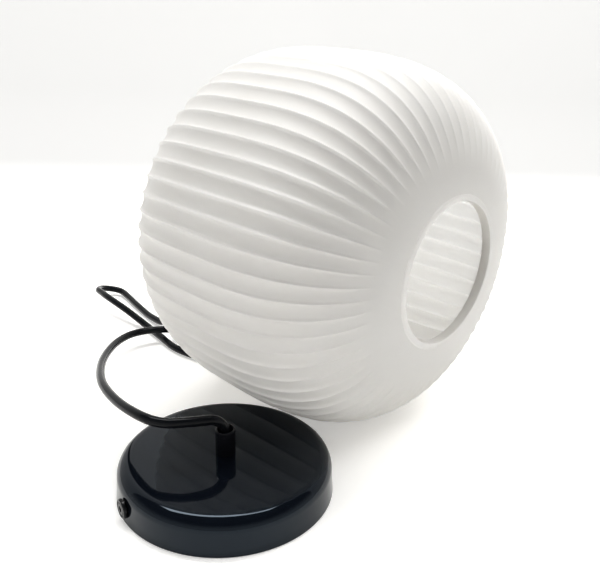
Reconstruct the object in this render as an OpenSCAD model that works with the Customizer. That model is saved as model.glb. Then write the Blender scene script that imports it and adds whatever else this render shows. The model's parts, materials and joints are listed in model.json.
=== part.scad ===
// Pendant lamp with a fluted opal glass shade, lying on a table beside its ceiling canopy.
// Sizes are in millimetres. The origin is the centre of the canopy's ceiling-side rim,
// +Z points from there to the cord side, and the shade's mouth looks along +X.

/* [Canopy] */
// Outer diameter at the ceiling-side rim
canopy_d = 120; // [116:1:150]
// Height from the rim to the top face
canopy_h = 20; // [19:0.5:26]
// Loss of radius from the rim to the top of the side wall
canopy_draft = 1; // [0:0.1:2]
// Radius of the rolled top edge
canopy_roll = 7.5; // [3:0.5:8]
// Thickness of the pressed sheet
canopy_wall = 1; // [0.8:0.1:1.5]

/* [Ceiling bracket] */
// Compass direction of the bracket, from +X towards +Y
bracket_turn = 79; // [0:1:359]
// Width of the strap
strap_w = 22; // [20:1:30]
// Thickness of the strap and its tabs
strap_t = 1.6; // [1.2:0.1:2]
// Distance between the two ceiling screw holes
fixing_span = 76; // [74:1:84]
// Diameter of the ceiling screw holes
fixing_d = 5.2; // [4:0.1:6]
// Diameter of the cable hole in the middle of the strap
cable_hole_d = 14; // [10:1:16]
// Width of an upright tab
tab_w = 14; // [10:1:18]
// Gap between a tab and the canopy's wall
tab_gap = 2; // [1.5:0.1:4]
// Inside radius of the bends
bend_r = 1; // [0.5:0.1:2]

/* [Side screws] */
// Thread diameter
side_screw_d = 4; // [3:0.5:5]
// Length under the head
side_screw_l = 12; // [8:0.5:15]
// Height of the screws above the ceiling
side_screw_z = 8; // [7:0.5:9]
// Diameter of the head
side_head_d = 10.5; // [8:0.5:12]
// Thickness of the head
side_head_h = 1.6; // [1.2:0.1:3]
// Width across the flats of the hexagon socket
side_socket_af = 3; // [2:0.5:4]

/* [Cord grips] */
// Outer diameter of a grip tube
grip_d = 11; // [10.6:0.1:14]
// Height of a grip tube
grip_h = 15; // [10:1:25]
// Wall of a grip tube at its mouth
grip_wall = 1.2; // [0.8:0.1:1.4]
// Thickness of the floor under the tube's wide bore
grip_floor = 2; // [1:0.5:4]
// Diameter of the threaded stem
stem_d = 9; // [8.6:0.1:10]
// How far a stem stands out past what holds it
stem_tail = 1.2; // [0.5:0.1:2]
// Width of the grip nut across its flats
nut_af = 13; // [12:0.5:16]
// Thickness of the grip nut
nut_h = 3; // [2:0.5:4]
// Diameter of the grip washer
washer_d = 17; // [14:0.5:20]
// Thickness of the grip washer
washer_t = 0.8; // [0.5:0.1:1.2]
// Diameter of a cord stop
stop_d = 14; // [12:0.5:16]
// Height of a cord stop
stop_h = 5; // [4.5:0.5:7]
// Thread diameter of the small screws
small_screw_d = 3; // [2.5:0.1:3.2]
// Head diameter of the small screws
small_head_d = 5.5; // [4.5:0.1:6]
// Head thickness of the small screws
small_head_h = 2; // [1.5:0.1:2.5]

/* [Terminal block] */
// Length along the strap
block_l = 22; // [20:1:24]
// Width across the strap
block_w = 20; // [18:1:24]
// Height above the strap
block_h = 12; // [11:0.5:13]
// Distance between the two terminals
pole_pitch = 10; // [9:0.5:12]
// Outer diameter of a terminal tube
tube_d = 5; // [4.5:0.1:5.4]
// Bore of a terminal tube
tube_bore = 3.2; // [2.8:0.1:3.4]
// Height of a terminal tube above the strap
tube_lift = 5.5; // [5:0.5:6]
// Distance between the two screws of one terminal
tube_screw_span = 12; // [10:1:14]

/* [Cord] */
// Outer diameter of the cord
cord_d = 5.6; // [5:0.1:6]
// Outer diameter of an insulated wire in the cord
wire_d = 2.2; // [1.8:0.1:2.4]
// Length of sheath below a cord stop
sheath_tail = 1.8; // [1:0.1:3]

/* [Lampholder] */
// Outer diameter of the threaded skirt
skirt_d = 40; // [39:0.5:41]
// Length of the skirt below its flange
skirt_l = 34; // [32:1:40]
// Wall of the skirt
skirt_wall = 2; // [1.5:0.1:2.4]
// Diameter of the flange that carries the shade
flange_d = 58; // [56:1:66]
// Thickness of the flange
flange_t = 2.5; // [2:0.1:4]
// Diameter of the cap
cap_d = 50; // [48:1:56]
// Height of the cap
cap_h = 26; // [25:1:32]
// Wall of the cap
cap_wall = 2; // [1.5:0.1:3]
// Diameter of the neck on top of the cap
neck_d = 16; // [14:0.5:20]
// Thickness of the neck, which holds the stem's thread
neck_t = 5; // [4:0.5:7]
// Thickness of the insulating insert
base_t = 13; // [12.5:0.5:14]
// Depth of the hollow in the insert that holds the centre contact
hollow_h = 5; // [4:0.5:5.5]
// How far the centre contact's tip stays above the socket's end
contact_rise = 2; // [1:0.5:3]
// Width of the ledge that carries the insert
ledge_w = 2.2; // [2:0.1:2.4]
// Thickness of the ledge
ledge_t = 2; // [1.5:0.1:3]
// Distance between the two wire terminals
base_screw_span = 18; // [16:1:20]
// Inner diameter of the socket's screw shell
shell_bore = 26.5; // [26:0.1:26.6]
// Wall of the screw shell
shell_wall = 0.5; // [0.4:0.1:0.6]
// Length of the screw shell
shell_l = 22; // [18:1:23]
// Thickness of the contact strips
contact_t = 0.6; // [0.4:0.1:0.8]
// Width of the contact strips
contact_w = 5; // [4:0.5:6]

/* [Shade] */
// Largest diameter over the crests of the flutes
shade_d = 230.6; // [210:0.2:250]
// Length of the rounded form from the widest place to the mouth side
front_len = 104; // [95:0.5:115]
// Length of the rounded form from the widest place to the lampholder side
back_len = 82.5; // [76:0.5:95]
// Fullness of the mouth side, where 2 is an ellipse and more is squarer
front_full = 3.3; // [2.6:0.1:4]
// Fullness of the lampholder side
back_full = 3; // [2.6:0.1:4]
// Diameter of the mouth
mouth_d = 84; // [70:1:96]
// Radius of the bead round the mouth
bead_r = 2; // [1.5:0.1:3]
// Thickness of the glass at the mouth
mouth_t = 6.5; // [5:0.5:8]
// Thickness of the glass elsewhere, under the flutes
glass_t = 3; // [2.5:0.1:4]
// Diameter of the hole for the lampholder
neck_hole_d = 42.4; // [42:0.1:44]
// Number of flutes
flute_count = 64; // [48:4:72]
// Depth of a flute
flute_h = 1.8; // [1:0.1:2.4]
// Diameter where the flutes end
flute_end_d = 140; // [134:1:165]
// Diameter from which the flutes have their full depth
flute_full_d = 176; // [172:1:190]

/* [Shade ring] */
// Diameter of the soft washers and of the ring's flange
ring_d = 56; // [54:0.5:58]
// Thickness of a soft washer
gasket_t = 1.5; // [1:0.1:2.5]
// Thickness of the ring's flange
ring_flange_t = 2; // [1.5:0.1:3]
// Diameter of the ring's collar
ring_collar_d = 48; // [46:0.5:50]
// Height of the whole ring
ring_h = 9; // [7:0.5:12]
// Number of grip grooves in the collar
ring_grooves = 24; // [12:2:30]
// Diameter of a grip groove
ring_groove_d = 2.4; // [1.5:0.1:3]
// Plain stretch of collar between the grooves and the flange
ring_plain_h = 1; // [0.5:0.1:2]

/* [Lie] */
// Place of the shade's widest section along the table, from the canopy's axis
head_x = -44; // [-60:1:-30]
// Angle by which the mouth dips towards the table
head_dip = 1.95; // [0:0.05:4]
// Gap between the shade and the canopy's rolled edge
lie_gap = 0.5; // [0.4:0.1:5]

/* [Clearances] */
// Radial gap of threads and turning fits
fit_gap = 0.05; // [0.02:0.01:0.1]
// Gap between pieces that move on each other face to face
seat_gap = 0.3; // [0.2:0.05:0.5]
// Radial gap round the cord and the wires
cord_gap = 0.4; // [0.3:0.05:0.5]
// Radial gap of plain through holes
hole_gap = 0.2; // [0.15:0.05:0.4]

/* [Hidden] */
$fn = 96;

// Cuts run this far past the faces they open
cut = 1;

// Canopy profile
canopy_r = canopy_d / 2;
roll_z = canopy_h - canopy_roll;
roll_r = canopy_r - canopy_draft - canopy_roll;
screw_wall_r = canopy_r - canopy_draft * side_screw_z / roll_z;
screw_seat_r = canopy_r - canopy_draft * (side_screw_z - side_head_d / 2) / roll_z + 2 * fit_gap;
canopy_roof_z = canopy_h - canopy_wall;

// Stack under the canopy's roof
washer_z = canopy_roof_z - washer_t;
nut_z = washer_z - nut_h;
canopy_stem_l = canopy_h - nut_z + stem_tail;
canopy_stop_z = canopy_h - canopy_stem_l - stop_h;
canopy_sheath_z = canopy_stop_z - sheath_tail;
cord_bore = cord_d + 2 * cord_gap;

// Bracket along its own x axis
tab_x = screw_wall_r - canopy_wall - tab_gap;
tab_h = side_screw_z + side_screw_d + strap_t;
tab_root = tab_x - strap_t - 2 * bend_r;
block_x = cable_hole_d / 2 + 3.5;
block_mid = block_x + block_l / 2;
block_top = strap_t + block_h;
tube_z = strap_t + tube_lift;
well_d = small_screw_d + 2 * hole_gap;
head_well_d = small_head_d + 2 * hole_gap;
head_well_h = small_head_h + 0.5;

// Lampholder along its own z axis, which points from the mouth to the cord
shade_r = shade_d / 2;
seat_r = ring_d / 2 + 3;
seat_z = rounded_z(seat_r, shade_r, back_len, back_full);
flange_z = seat_z + seat_gap + gasket_t;
cap_z = flange_z + flange_t;
cap_top = cap_z + cap_h;
skirt_z = flange_z - skirt_l;
skirt_bore = skirt_d - 2 * skirt_wall;
base_z = cap_z - base_t;
base_d = skirt_bore - 2 * hole_gap;
hollow_floor = 2;
base_screw_h = base_t - hollow_h - hollow_floor;
contact_drop = hollow_h - contact_t - contact_rise;
side_contact_x = shell_bore / 2 + shell_wall + fit_gap;
side_contact_up = 4;
side_contact_down = 5;
holder_stem_l = neck_t + stem_tail;
holder_stop_z = cap_top - holder_stem_l - stop_h;
holder_sheath_z = holder_stop_z - sheath_tail;
lower_gasket_z = seat_z - glass_t - seat_gap - gasket_t;
ring_top = lower_gasket_z - seat_gap / 2;
gasket_bore = skirt_d + 2 * cord_gap;

// Angles round the lip's bead, from the outer face to the mouth's edge
bead_angles = [-50, -90, -135, -180];
// Rows of the shade's faces
front_rows = 8;
back_rows = 6;
inner_front_rows = 5;
inner_back_rows = 4;
// Points on one flute where the shade is fluted, and where it is smooth
flute_points = 4;

// Where the head lies: its lowest crest on the table, and its circle beside the canopy's axis clear of the roll
head_z = max([for (k = shade_outside()) k[1] * cos(head_dip) - k[0] * sin(head_dip)]);
near_r = shade_r * pow(1 - pow(-head_x / front_len, front_full), 1 / front_full);
near_z = head_z + head_x * tan(head_dip);
head_y = roll_r + sqrt(pow(near_r + canopy_roll + lie_gap, 2) - pow(near_z - roll_z, 2));
head_at = [head_x, head_y, head_z];

// The cord's way from the canopy's grip to the lampholder's
cord_way = [
    [-1, -6, 42], [-6, -18, 44], [-15, -29, 44], [-29, -34, 44], [-60, -30, 39], [-95, -19, 33],
    [-131, 1, 25], [-160, 24, 18.5], [-179, 46, 14], [-185, 64, 12], [-179, 83, 11], [-166, 106, 7.5],
    [-152, 135, 4], [-134, 164, 3.2], [-110, 165, 3.2], [-98, 138, 3.2], [-106, 106, 3.2], [-127, 86, 3.2],
    [-155, 80, 3.2], [-183, 84, 3.2], [-207, 87, 4.2], [-234, 85.5, 10.4], [-260, 85, 14],
    [-277, 87.5, 14], [-288, 90.5, 12.8], [-296.5, 98, 10.2], [-298.5, 108, 6.9], [-291.5, 115.2, 4.6],
    [-277, 114, 3.4], [-254, 108.5, 3.2], [-221, 102, 3.2], [-197, 100, 9], [-190, 106, 40],
    [-196, 116, 82], [-187, 118, 115]
];
cord_route = concat(
    [[0, 0, canopy_sheath_z], [0, 0, canopy_h + grip_floor], [0, 0, canopy_h + grip_h - 1]],
    cord_way,
    [for (z = [cap_top + grip_h, cap_top, holder_sheath_z]) head_point(z)]
);

// Half of a superellipse: its z at a radius, and its points at an angle from the widest place
function rounded_z(r, r_max, len, full) = len * pow(1 - pow(r / r_max, full), 1 / full);
function rounded(a, r_max, len, full) = [len * pow(sin(a), 2 / full), r_max * pow(cos(a), 2 / full)];
function rounded_end(r, r_max, full) = acos(pow(r / r_max, full / 2));

// A point on the lampholder's axis, in the lamp's frame
function head_point(z) = head_at + z * [-cos(head_dip), 0, sin(head_dip)];

// Depth of the flutes where the shade has a radius
function flute_at(r) = flute_h * max(0, min(1, (2 * r - flute_end_d) / (flute_full_d - flute_end_d)));

// Rings of the shade as [z, radius, flute depth], from the lampholder's hole over the outside to the mouth
function shade_outside() = let (
    mouth_r = mouth_d / 2 + 2.5 * bead_r,
    back_end = rounded_end(seat_r, shade_r, back_full),
    front_end = rounded_end(mouth_r, shade_r, front_full),
    bead_z = rounded_z(mouth_r, shade_r, front_len, front_full) - bead_r / 2
) concat(
    [[seat_z, neck_hole_d / 2, 0]],
    [for (i = [back_rows:-1:0])
        let (p = rounded(back_end * i / back_rows, shade_r, back_len, back_full))
            [p[0], p[1], flute_at(p[1])]],
    [for (i = [1:front_rows])
        let (p = rounded(front_end * i / front_rows, shade_r, front_len, front_full))
            [-p[0], p[1], flute_at(p[1])]],
    [for (a = bead_angles) [bead_r * sin(a) - bead_z, mouth_d / 2 + bead_r + bead_r * cos(a), 0]]
);

// The rest of the rings, from the mouth over the smooth inside back to the lampholder's hole
function shade_inside() = let (
    r = shade_r - flute_h - glass_t,
    front = front_len - glass_t,
    back = back_len - glass_t,
    rim_r = mouth_d / 2 + 9 * bead_r,
    front_end = rounded_end(rim_r, r, front_full),
    back_end = rounded_end(seat_r, r, back_full)
) concat(
    [[mouth_t - front_len, mouth_d / 2, 0]],
    [for (i = [inner_front_rows:-1:0])
        let (p = rounded(front_end * i / inner_front_rows, r, front, front_full)) [-p[0], p[1], 0]],
    [for (i = [1:inner_back_rows - 1])
        let (p = rounded(back_end * i / inner_back_rows, r, back, back_full)) [p[0], p[1], 0]],
    [[seat_z - glass_t, seat_r, 0], [seat_z - glass_t, neck_hole_d / 2, 0]]
);

// Points on a ring of the shade: a fluted ring has narrow round crests and wide hollows
function ring_size(ring) = ring[2] > 0 ? flute_count * flute_points : flute_count;
function ring_points(ring) = [for (i = [0:ring_size(ring) - 1])
    let (
        a = 360 * i / ring_size(ring),
        crest = pow((1 + cos(flute_count * a)) / 2, 2),
        r = ring[1] - ring[2] * (1 - crest)
    ) [r * cos(a), r * sin(a), ring[0]]];

// Triangles between two rings whose points are numbered from a and from b
function band(a, a_count, b, b_count) = let (steps = max(a_count, b_count))
    [for (i = [0:steps - 1]) let (
        a0 = a + round(i * a_count / steps) % a_count,
        a1 = a + round((i + 1) * a_count / steps) % a_count,
        b0 = b + round(i * b_count / steps) % b_count,
        b1 = b + round((i + 1) * b_count / steps) % b_count
    ) each [if (b0 != b1) [a0, b0, b1], if (a0 != a1) [a0, b1, a1]]];

function running_sum(list, i = 0, sum = 0) =
    i == len(list) ? [] : concat([sum], running_sum(list, i + 1, sum + list[i]));

// Smooth curve through points, with a number of steps between each two
function curve(points, steps) = let (last = len(points) - 1) concat(
    [for (i = [0:last - 1], k = [0:steps - 1]) let (
        t = k / steps,
        p1 = points[i],
        p2 = points[i + 1],
        p0 = i > 0 ? points[i - 1] : 2 * p1 - p2,
        p3 = i + 2 <= last ? points[i + 2] : 2 * p2 - p1
    ) p1 + (p2 - p0) * t / 2 + (2 * p0 - 5 * p1 + 4 * p2 - p3) * t * t / 2
        + (3 * p1 - p0 - 3 * p2 + p3) * t * t * t / 2],
    [points[last]]
);

function unit(v) = v / norm(v);
function headings(line) = [for (i = [0:len(line) - 1])
    unit(line[min(i + 1, len(line) - 1)] - line[max(i - 1, 0)])];

// A side direction carried along the headings without twist
function carried(heads, side, i = 0) = i == len(heads) ? [] :
    let (s = unit(side - heads[i] * (side * heads[i]))) concat([s], carried(heads, s, i + 1));

// Round tube of one diameter along a line of points
module swept_tube(line, d, sides) {
    heads = headings(line);
    across = carried(heads, [1, 0.2, 0.1]);
    last = len(line) - 1;
    points = [for (i = [0:last], k = [0:sides - 1]) let (a = 360 * k / sides)
        line[i] + d / 2 * (cos(a) * across[i] + sin(a) * cross(heads[i], across[i]))];
    faces = concat(
        [for (i = [0:last - 1]) each band(i * sides, sides, (i + 1) * sides, sides)],
        [for (k = [1:sides - 2]) [0, k, k + 1]],
        [for (k = [1:sides - 2]) [last * sides, last * sides + k + 1, last * sides + k]]
    );
    polyhedron(points, faces);
}

// Flat ring
module flat_ring(d, bore, h) {
    difference() {
        cylinder(d = d, h = h);
        translate([0, 0, -cut]) cylinder(d = bore, h = h + 2 * cut);
    }
}

// Half section of the canopy, shrunk by an inset and stretched below its rim
module cup_section(inset, below) {
    polygon([
        [0, -below], [canopy_r - inset, -below], [canopy_r - inset, 0],
        [canopy_r - canopy_draft - inset, roll_z], [roll_r, roll_z], [roll_r, canopy_h - inset],
        [0, canopy_h - inset]
    ]);
    translate([roll_r, roll_z]) circle(r = canopy_roll - inset);
}

// Section of a strap bent up at both ends, as a filled trough
module trough_section(half, bottom, r) {
    translate([-half, bottom + r]) square([2 * half, tab_h + cut - bottom - r]);
    translate([r - half, bottom]) square([2 * (half - r), 2 * r]);
    for (side = [-1, 1]) translate([side * (half - r), bottom + r]) circle(r = r);
}

// The bracket's own frame, with x along the strap
module on_bracket() { rotate([0, 0, bracket_turn]) children(); }

// The lampholder's own frame, laid on the table
module on_head() { translate(head_at) rotate([0, head_dip - 90, 0]) children(); }

// Screw with a slotted cheese head, standing on its seat with the shank below
module small_screw(shank_l) {
    difference() {
        union() {
            translate([0, 0, -shank_l]) cylinder(d = small_screw_d, h = shank_l + small_head_h / 2);
            cylinder(d = small_head_d, h = small_head_h);
        }
        translate([-small_head_d, -0.4, small_head_h - 0.9]) cube([2 * small_head_d, 0.8, 2]);
    }
}

// Side screw along +x, with its head's seat at x = 0
module side_screw() {
    color("#17191c") rotate([0, 90, 0]) difference() {
        union() {
            translate([0, 0, -side_screw_l]) cylinder(d = side_screw_d, h = side_screw_l + side_head_h / 2);
            rotate_extrude() polygon([
                [0, 0], [side_head_d / 2, 0], [side_head_d / 2, side_head_h - 0.5],
                [side_head_d / 2 - 0.5, side_head_h], [0, side_head_h]
            ]);
        }
        translate([0, 0, side_head_h - 0.3]) flat_ring(side_head_d - 2.4, side_head_d - 4, 1);
        translate([0, 0, side_head_h - 1.1]) cylinder(d = side_socket_af / cos(30), h = 2, $fn = 6);
    }
}

// Grip tube standing on z = 0 with its stem below
module grip(stem_l) {
    tube_r = grip_d / 2;
    color("#15171a") difference() {
        union() {
            rotate_extrude() {
                square([tube_r, grip_floor]);
                translate([tube_r - grip_wall, 0]) square([grip_wall, grip_h - grip_wall / 2]);
                translate([tube_r - grip_wall / 2, grip_h - grip_wall / 2]) circle(d = grip_wall);
            }
            translate([0, 0, -stem_l]) cylinder(d = stem_d, h = stem_l + grip_floor / 2);
        }
        translate([0, 0, -stem_l - cut]) cylinder(d = cord_bore, h = stem_l + grip_floor + 2 * cut);
    }
}

// Collar on the cord, standing on z = 0, with a screw hole from +x
module cord_stop() {
    color("#d8d4c8") difference() {
        flat_ring(stop_d, cord_bore, stop_h);
        translate([0, 0, stop_h / 2]) rotate([0, 90, 0]) cylinder(d = small_screw_d + 2 * fit_gap, h = stop_d);
    }
}

module stop_screw() {
    shank_l = (stop_d - cord_d) / 2 - cord_gap / 2;
    color("silver") translate([stop_d / 2, 0, stop_h / 2]) rotate([0, 90, 0]) small_screw(shank_l);
}

// Two wires side by side leave the sheath along -z: side is -1 or 1
module canopy_wire(side) {
    pole_y = side * pole_pitch / 2;
    dip_z = canopy_sheath_z - wire_d - 1;
    way = [
        [0, side * wire_d * 0.6, canopy_sheath_z - seat_gap],
        [0.6, side * wire_d * 0.7, canopy_sheath_z - 1.8],
        [block_x / 3, pole_y * 0.5, dip_z], [block_x * 0.7, pole_y * 0.85, (dip_z + tube_z) / 2],
        [block_x, pole_y, tube_z], [block_x + 3, pole_y, tube_z],
        [block_mid - tube_screw_span / 2 + 2, pole_y, tube_z]
    ];
    on_bracket() swept_tube(curve(way, 2), wire_d, 8);
}

// From the sheath's end down to a terminal on the insert, passing beside the terminal's screw
module holder_wire(side) {
    screw_x = side * base_screw_span / 2;
    pass_y = (small_screw_d + wire_d) / 2 + 0.5;
    low_z = cap_z + wire_d / 2 + 0.2;
    way = [
        [side * wire_d * 0.6, 0, holder_sheath_z - seat_gap],
        [side * wire_d * 0.7, 0.4, holder_sheath_z - 2.5],
        [screw_x * 0.35, pass_y * 0.5, (holder_sheath_z + low_z) / 2 - 1],
        [screw_x * 0.65, pass_y, low_z + 0.8], [screw_x, pass_y, low_z],
        [screw_x + side * 2.5, pass_y, low_z]
    ];
    on_head() swept_tube(curve(way, 2), wire_d, 8);
}

module canopy_cup() {
    color("#16191c") difference() {
        rotate_extrude() difference() {
            cup_section(0, 0);
            cup_section(canopy_wall, cut);
        }
        translate([0, 0, canopy_roof_z - cut]) cylinder(d = stem_d + 2 * hole_gap, h = canopy_wall + 2 * cut);
        on_bracket() translate([0, 0, side_screw_z]) rotate([0, 90, 0])
            cylinder(d = side_screw_d + 4 * hole_gap, h = canopy_d, center = true);
    }
}

module ceiling_bracket() {
    color("silver") on_bracket() difference() {
        intersection() {
            rotate([90, 0, 0]) linear_extrude(strap_w, center = true) difference() {
                trough_section(tab_x, 0, bend_r + strap_t);
                trough_section(tab_x - strap_t, strap_t, bend_r);
            }
            union() {
                cube([2 * tab_root, strap_w + cut, 2 * tab_h], center = true);
                cube([2 * tab_x + cut, tab_w, 2 * tab_h], center = true);
            }
        }
        translate([0, 0, -cut]) cylinder(d = cable_hole_d, h = strap_t + 2 * cut);
        for (side = [-1, 1])
            translate([side * fixing_span / 2, 0, -cut]) cylinder(d = fixing_d, h = strap_t + 2 * cut);
        translate([block_mid, 0, -cut]) cylinder(d = small_screw_d + 2 * fit_gap, h = strap_t + 2 * cut);
        translate([0, 0, side_screw_z]) rotate([0, 90, 0])
            cylinder(d = side_screw_d + 2 * fit_gap, h = canopy_d, center = true);
    }
}

module side_screw_front() {
    on_bracket() rotate([0, 0, 180]) translate([screw_seat_r, 0, side_screw_z]) side_screw();
}

module side_screw_rear() {
    on_bracket() translate([screw_seat_r, 0, side_screw_z]) side_screw();
}

module canopy_grip() { translate([0, 0, canopy_h]) grip(canopy_stem_l); }

module grip_washer() {
    color("silver") translate([0, 0, washer_z]) flat_ring(washer_d, stem_d + 2 * hole_gap, washer_t);
}

module grip_nut() {
    color("silver") translate([0, 0, nut_z]) difference() {
        cylinder(d = nut_af / cos(30), h = nut_h, $fn = 6);
        translate([0, 0, -cut]) cylinder(d = stem_d + 2 * fit_gap, h = nut_h + 2 * cut);
    }
}

module canopy_cord_stop() { on_bracket() rotate([0, 0, 180]) translate([0, 0, canopy_stop_z]) cord_stop(); }

module canopy_stop_screw() { on_bracket() rotate([0, 0, 180]) translate([0, 0, canopy_stop_z]) stop_screw(); }

module terminal_block() {
    color("#ece9df") on_bracket() difference() {
        translate([block_x, -block_w / 2, strap_t]) cube([block_l, block_w, block_h]);
        for (side = [-1, 1]) translate([block_x - cut, side * pole_pitch / 2, tube_z]) {
            rotate([0, 90, 0]) cylinder(d = tube_d + 2 * fit_gap, h = block_l + 2 * cut);
            for (end = [-1, 1]) translate([cut + (block_l + end * tube_screw_span) / 2, 0, 0])
                cylinder(d = well_d, h = block_h);
        }
        translate([block_mid, 0, 0]) cylinder(d = well_d, h = block_top + cut);
        translate([block_mid, 0, block_top - head_well_h]) cylinder(d = head_well_d, h = block_h);
        for (end = [-1, 1]) translate([block_mid + end * (block_l / 4 + head_well_d / 4), 0, block_top])
            cube([block_l / 2 - head_well_d / 2 + cut, 1.5, 4], center = true);
    }
}

module terminal_tubes() {
    color("goldenrod") on_bracket() for (side = [-1, 1])
        translate([block_x + cut, side * pole_pitch / 2, tube_z]) difference() {
            rotate([0, 90, 0]) flat_ring(tube_d, tube_bore, block_l - 2 * cut);
            for (end = [-1, 1]) translate([(block_l + end * tube_screw_span) / 2 - cut, 0, 0])
                cylinder(d = small_screw_d + 2 * fit_gap, h = tube_d);
        }
}

module terminal_screws() {
    tip_z = tube_z + wire_d / 2 + hole_gap;
    color("silver") on_bracket() for (side = [-1, 1], end = [-1, 1])
        translate([block_mid + end * tube_screw_span / 2, side * pole_pitch / 2, tip_z]) difference() {
            cylinder(d = small_screw_d, h = block_top - 0.5 - tip_z);
            translate([-small_screw_d, -0.3, block_top - 1.3 - tip_z]) cube([2 * small_screw_d, 0.6, 2]);
        }
}

module block_screw() {
    color("silver") on_bracket() translate([block_mid, 0, block_top - head_well_h])
        small_screw(block_top - head_well_h - 0.2);
}

module canopy_live_wire() { color("saddlebrown") canopy_wire(1); }

module canopy_neutral_wire() { color("royalblue") canopy_wire(-1); }

module cord() { color("#141414") swept_tube(curve(cord_route, 2), cord_d, 10); }

module holder_grip() { on_head() translate([0, 0, cap_top]) grip(holder_stem_l); }

module holder_cord_stop() { on_head() translate([0, 0, holder_stop_z]) cord_stop(); }

module holder_stop_screw() { on_head() translate([0, 0, holder_stop_z]) stop_screw(); }

module holder_cap() {
    dome_z = cap_h - cap_d / 2;
    color("#1a1a1c") on_head() translate([0, 0, cap_z]) difference() {
        rotate_extrude() difference() {
            union() {
                intersection() {
                    translate([0, dome_z]) circle(d = cap_d);
                    square([cap_d, cap_h]);
                }
                square([cap_d / 2, max(dome_z, cap_wall)]);
                square([neck_d / 2, cap_h]);
            }
            intersection() {
                union() {
                    translate([0, dome_z]) circle(d = cap_d - 2 * cap_wall);
                    translate([0, -cut]) square([cap_d / 2 - cap_wall, max(dome_z, 0) + cut]);
                }
                translate([0, -cut]) square([cap_d, cap_h - neck_t + cut]);
            }
        }
        translate([0, 0, cap_h - neck_t - cut]) cylinder(d = stem_d + 2 * fit_gap, h = neck_t + 2 * cut);
    }
}

module holder_skirt() {
    color("#1a1a1c") on_head() {
        difference() {
            union() {
                translate([0, 0, skirt_z]) cylinder(d = skirt_d, h = skirt_l + flange_t);
                translate([0, 0, flange_z]) cylinder(d = flange_d, h = flange_t);
            }
            translate([0, 0, skirt_z - cut])
                cylinder(d = skirt_bore - 2 * ledge_w, h = skirt_l + flange_t + 2 * cut);
            translate([0, 0, base_z]) cylinder(d = skirt_bore, h = base_t + cut);
            translate([0, 0, skirt_z - cut]) cylinder(d = skirt_bore, h = base_z - ledge_t - skirt_z + cut);
        }
    }
}

module contact_base() {
    notch_w = contact_w + 2 * hole_gap;
    notch_l = side_contact_x + contact_t + hole_gap - shell_bore / 2;
    color("#e9e6dc") on_head() translate([0, 0, base_z]) difference() {
        cylinder(d = base_d, h = base_t);
        translate([0, 0, -cut]) cylinder(d = shell_bore + shell_wall, h = hollow_h + cut);
        translate([shell_bore / 2, -notch_w / 2, -cut])
            cube([notch_l, notch_w, side_contact_up + hole_gap + cut]);
        for (side = [-1, 1]) translate([side * base_screw_span / 2, 0, base_t - base_screw_h])
            cylinder(d = small_screw_d + 2 * fit_gap, h = base_screw_h + cut);
        translate([0, 0, hollow_h + 2 * hollow_floor]) cylinder(d = cord_d, h = base_t);
    }
}

module screw_shell() {
    color("#c8a24a") on_head() translate([0, 0, base_z - shell_l])
        flat_ring(shell_bore + 2 * shell_wall, shell_bore, shell_l);
}

// Spring tongue in the insert's hollow, over the middle of the socket
module centre_contact() {
    root_x = -9;
    bend_x = -5;
    dip_x = 2;
    tip_x = 4;
    color("#c8a24a") on_head() translate([0, contact_w / 2, base_z + hollow_h]) rotate([90, 0, 0])
        linear_extrude(contact_w) polygon([
            [root_x, 0], [bend_x, 0], [dip_x, -contact_drop], [tip_x, -contact_drop],
            [tip_x, -contact_drop - contact_t], [dip_x - hole_gap, -contact_drop - contact_t],
            [bend_x - hole_gap, -contact_t], [root_x, -contact_t]
        ]);
}

// Strip that stands in a notch of the insert and leans on the outside of the shell
module side_contact() {
    flare = contact_t + hole_gap;
    color("#c8a24a") on_head() translate([side_contact_x, contact_w / 2, base_z]) rotate([90, 0, 0])
        linear_extrude(contact_w) polygon([
            [0, side_contact_up], [contact_t, side_contact_up], [contact_t, -side_contact_down],
            [contact_t + flare, -side_contact_down - 2 * flare], [flare, -side_contact_down - 2 * flare],
            [0, -side_contact_down]
        ]);
}

module base_screws() {
    lift = wire_d + 2 * hole_gap;
    color("silver") on_head() for (side = [-1, 1])
        translate([side * base_screw_span / 2, 0, cap_z + lift]) small_screw(lift + base_screw_h - 1);
}

module holder_live_wire() { color("saddlebrown") holder_wire(1); }

module holder_neutral_wire() { color("royalblue") holder_wire(-1); }

module upper_gasket() {
    color("#3a3a3a") on_head() translate([0, 0, seat_z + seat_gap]) flat_ring(ring_d, gasket_bore, gasket_t);
}

module lower_gasket() {
    color("#3a3a3a") on_head() translate([0, 0, lower_gasket_z]) flat_ring(ring_d, gasket_bore, gasket_t);
}

module shade_ring() {
    color("#1a1a1c") on_head() translate([0, 0, ring_top - ring_h]) difference() {
        union() {
            cylinder(d = ring_collar_d, h = ring_h);
            translate([0, 0, ring_h - ring_flange_t]) cylinder(d = ring_d, h = ring_flange_t);
        }
        translate([0, 0, -cut]) cylinder(d = skirt_d + 2 * fit_gap, h = ring_h + 2 * cut);
        for (i = [0:ring_grooves - 1]) rotate([0, 0, 360 * i / ring_grooves])
            translate([ring_collar_d / 2, 0, -cut])
                cylinder(d = ring_groove_d, h = ring_h - ring_flange_t - ring_plain_h + cut);
    }
}

module shade() {
    rings = concat(shade_outside(), shade_inside());
    sizes = [for (ring = rings) ring_size(ring)];
    starts = running_sum(sizes);
    color("#f4f1ea") on_head() polyhedron(
        [for (ring = rings) each ring_points(ring)],
        [for (i = [0:len(rings) - 1]) let (j = (i + 1) % len(rings))
            each band(starts[j], sizes[j], starts[i], sizes[i])]
    );
}

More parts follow.
